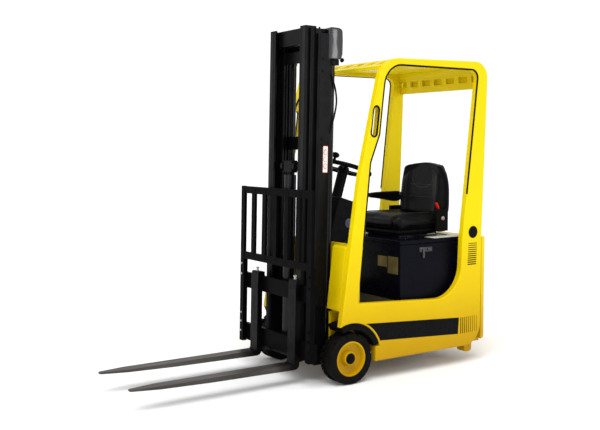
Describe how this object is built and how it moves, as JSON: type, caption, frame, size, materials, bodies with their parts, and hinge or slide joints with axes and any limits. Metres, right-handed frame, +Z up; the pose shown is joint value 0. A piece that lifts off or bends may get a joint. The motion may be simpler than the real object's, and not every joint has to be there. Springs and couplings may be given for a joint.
{
  "type": "forklift",
  "caption": "Compact sit-on electric counterbalance forklift: triplex mast, fork carriage with load backrest, open cab with overhead guard, seat on a battery box and cast tail.",
  "frame": {"origin": "on the floor under the middle of the whole outline, fork tips to tail", "axes": "-Y is the front with the forks, +X is the driver's left, +Z is up"},
  "size_m": [0.85, 2.36, 2.0643],
  "materials": {
    "yellow_paint": "satin gloss",
    "black_paint": "satin",
    "black_plastic": "grained",
    "black_vinyl": "stitched vinyl",
    "fork_steel": "mill scale, worn",
    "rod_chrome": "polished",
    "dark_steel": "oiled",
    "tyre_rubber": "matt",
    "battery_grey": "satin"
  },
  "bodies": {
    "chassis": {"chassis_frame": "yellow_paint", "side_panel_left": "yellow_paint", "side_panel_right": "yellow_paint", "guard_roof": "yellow_paint", "floor_plate": "yellow_paint", "front_cowl": "yellow_paint", "fender_left": "black_plastic", "fender_right": "black_plastic", "battery_box": "black_paint", "battery": "battery_grey", "counterweight": "yellow_paint", "stabiliser_left": "yellow_paint", "stabiliser_right": "yellow_paint", "dash_console": "black_plastic", "steering_column": "black_plastic", "lever_block": "black_plastic", "pedals": "black_plastic"},
    "steering_wheel": {"steering_wheel": "black_plastic"},
    "seat_deck": {"seat_deck": "black_paint"},
    "seat": {"seat_pan": "black_paint", "seat_cushion": "black_vinyl", "seat_back": "black_vinyl"},
    "armrest": {"seat_armrest": "black_vinyl"},
    "front_wheel_left": {"tyre_front_left": "tyre_rubber", "rim_front_left": "yellow_paint"},
    "front_wheel_right": {"tyre_front_right": "tyre_rubber", "rim_front_right": "yellow_paint"},
    "drive_unit": {"drive_unit": "dark_steel"},
    "drive_wheel": {"tyre_rear": "tyre_rubber", "hub_rear": "dark_steel"},
    "mast_outer": {"mast_outer": "black_paint", "lift_cylinder_left": "black_paint", "lift_cylinder_right": "black_paint"},
    "mast_middle": {"mast_middle": "black_paint"},
    "mast_inner": {"mast_inner": "black_paint", "free_lift_cylinder": "black_paint"},
    "lift_crosshead": {"lift_crosshead": "dark_steel"},
    "carriage": {"fork_carriage": "black_paint", "load_backrest": "black_paint"},
    "fork_left": {"fork_left": "fork_steel"},
    "fork_right": {"fork_right": "fork_steel"},
    "tilt_cylinder_left": {"tilt_cylinder_left": "black_paint"},
    "tilt_cylinder_right": {"tilt_cylinder_right": "black_paint"},
    "tilt_rod_left": {"tilt_rod_left": "rod_chrome"},
    "tilt_rod_right": {"tilt_rod_right": "rod_chrome"}
  },
  "joints": [
    {"name": "drive_steer", "type": "hinge", "parent": "chassis", "child": "drive_unit", "pos_m": [0, 0.9, 0.34], "axis": [0, 0, 1], "range_deg": [-85, 85]},
    {"name": "drive_wheel_spin", "type": "hinge", "parent": "drive_unit", "child": "drive_wheel", "pos_m": [0, 0.9, 0.14], "axis": [1, 0, 0], "continuous": true},
    {"name": "steering_wheel_turn", "type": "hinge", "parent": "chassis", "child": "steering_wheel", "pos_m": [0, 0.34761, 1.23703], "axis": [0, 0.2924, 0.9563], "range_deg": [-850, 850]},
    {"name": "front_wheel_left_spin", "type": "hinge", "parent": "chassis", "child": "front_wheel_left", "pos_m": [0.36, 0.099, 0.15], "axis": [1, 0, 0], "continuous": true},
    {"name": "front_wheel_right_spin", "type": "hinge", "parent": "chassis", "child": "front_wheel_right", "pos_m": [-0.36, 0.099, 0.15], "axis": [1, 0, 0], "continuous": true},
    {"name": "mast_tilt", "type": "hinge", "parent": "chassis", "child": "mast_outer", "pos_m": [0, 0.099, 0.15], "axis": [1, 0, 0], "range_deg": [-3.8, 3.2]},
    {"name": "mast_middle_lift", "type": "slide", "parent": "mast_outer", "child": "mast_middle", "axis": [0, 0.0227, 0.9997], "range_m": [0, 1.3]},
    {"name": "mast_inner_lift", "type": "slide", "parent": "mast_middle", "child": "mast_inner", "axis": [0, 0.0227, 0.9997], "range_m": [0, 1.3]},
    {"name": "carriage_lift", "type": "slide", "parent": "mast_inner", "child": "carriage", "axis": [0, 0.0227, 0.9997], "range_m": [0, 1.3]},
    {"name": "crosshead_lift", "type": "slide", "parent": "mast_inner", "child": "lift_crosshead", "axis": [0, 0.0227, 0.9997], "range_m": [0, 0.65]},
    {"name": "fork_left_slide", "type": "slide", "parent": "carriage", "child": "fork_left", "axis": [1, 0, 0], "range_m": [-0.145, 0.09]},
    {"name": "fork_right_slide", "type": "slide", "parent": "carriage", "child": "fork_right", "axis": [1, 0, 0], "range_m": [-0.09, 0.145]},
    {"name": "tilt_cylinder_left_swing", "type": "hinge", "parent": "chassis", "child": "tilt_cylinder_left", "pos_m": [0.125, 0.459, 0.3], "axis": [1, 0, 0], "range_deg": [-0.68, 0.58]},
    {"name": "tilt_rod_left_slide", "type": "slide", "parent": "tilt_cylinder_left", "child": "tilt_rod_left", "axis": [0, -0.9862, 0.1658], "range_m": [-0.01409, 0.01192]},
    {"name": "tilt_cylinder_right_swing", "type": "hinge", "parent": "chassis", "child": "tilt_cylinder_right", "pos_m": [-0.125, 0.459, 0.3], "axis": [1, 0, 0], "range_deg": [-0.68, 0.58]},
    {"name": "tilt_rod_right_slide", "type": "slide", "parent": "tilt_cylinder_right", "child": "tilt_rod_right", "axis": [0, -0.9862, 0.1658], "range_m": [-0.01409, 0.01192]},
    {"name": "seat_deck_lid", "type": "hinge", "parent": "chassis", "child": "seat_deck", "pos_m": [0, 1.051, 0.8], "axis": [-1, 0, 0], "range_deg": [0, 60]},
    {"name": "seat_slide", "type": "slide", "parent": "seat_deck", "child": "seat", "axis": [0, -1, 0], "range_m": [-0.02, 0.09]},
    {"name": "armrest_lift", "type": "hinge", "parent": "seat", "child": "armrest", "pos_m": [-0.2505, 1.005, 1.045], "axis": [-1, 0, 0], "range_deg": [0, 85]}
  ],
  "couplings": [
    {"joint": "steering_wheel_turn", "follows": "drive_steer", "ratio": -10},
    {"joint": "mast_inner_lift", "follows": "mast_middle_lift", "ratio": 1},
    {"joint": "crosshead_lift", "follows": "carriage_lift", "ratio": 0.5},
    {"joint": "tilt_cylinder_left_swing", "follows": "mast_tilt", "ratio": 0.16461},
    {"joint": "tilt_rod_left_slide", "follows": "mast_tilt", "m_per_rad": 0.20799},
    {"joint": "tilt_cylinder_right_swing", "follows": "mast_tilt", "ratio": 0.16461},
    {"joint": "tilt_rod_right_slide", "follows": "mast_tilt", "m_per_rad": 0.20799}
  ]
}
